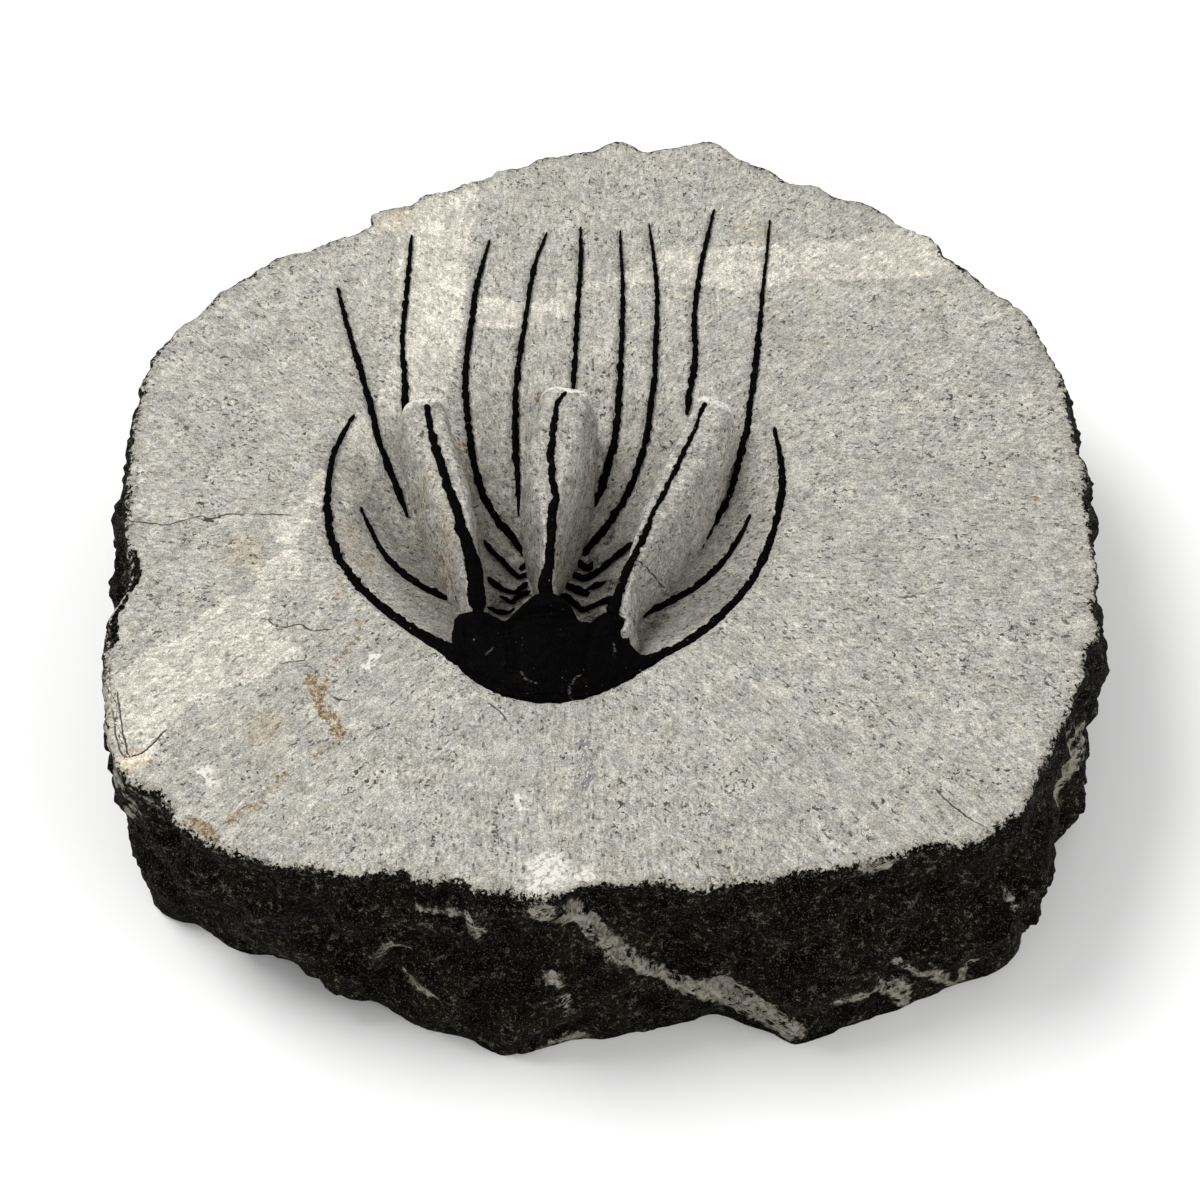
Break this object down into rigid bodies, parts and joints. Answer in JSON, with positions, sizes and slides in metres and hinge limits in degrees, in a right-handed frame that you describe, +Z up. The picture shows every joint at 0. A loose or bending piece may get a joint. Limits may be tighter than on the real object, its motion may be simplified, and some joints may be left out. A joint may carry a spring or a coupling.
{
  "type": "trilobite fossil",
  "caption": "Spiny trilobite prepared in a rough-sided limestone slab: dark head at the rim of a bowl, thin fins of rock under its upright spines, long side spines fanned over the flat top.",
  "frame": {"origin": "middle of the flat sawn underside", "axes": "+Z up out of the prepared top face; -Y towards the animal's head, +Y the way its long spines run; +X to the right seen from the head end"},
  "size_m": [0.1228, 0.124, 0.0364],
  "materials": {
    "limestone": "pale grey limestone, tool-scratched and flecked on top, nearly black and broken rough round the sides",
    "shell": "brown-black fossil shell with a dull sheen"
  },
  "bodies": {
    "root": {"matrix_stone": "limestone", "head_shield": "shell", "occipital_spine": "shell", "eye_spine_left": "shell", "eye_spine_right": "shell", "genal_spine_left": "shell", "genal_spine_right": "shell", "pleural_spine_left_1": "shell", "pleural_spine_left_2": "shell", "pleural_spine_left_3": "shell", "pleural_spine_left_4": "shell", "pleural_spine_left_5": "shell", "pleural_spine_right_1": "shell", "pleural_spine_right_2": "shell", "pleural_spine_right_3": "shell", "pleural_spine_right_4": "shell", "pleural_spine_right_5": "shell", "tail_spine": "shell", "thorax_rib_left_1": "shell", "thorax_rib_left_2": "shell", "thorax_rib_left_3": "shell", "thorax_rib_left_4": "shell", "thorax_rib_right_1": "shell", "thorax_rib_right_2": "shell", "thorax_rib_right_3": "shell", "thorax_rib_right_4": "shell"}
  },
  "joints": []
}
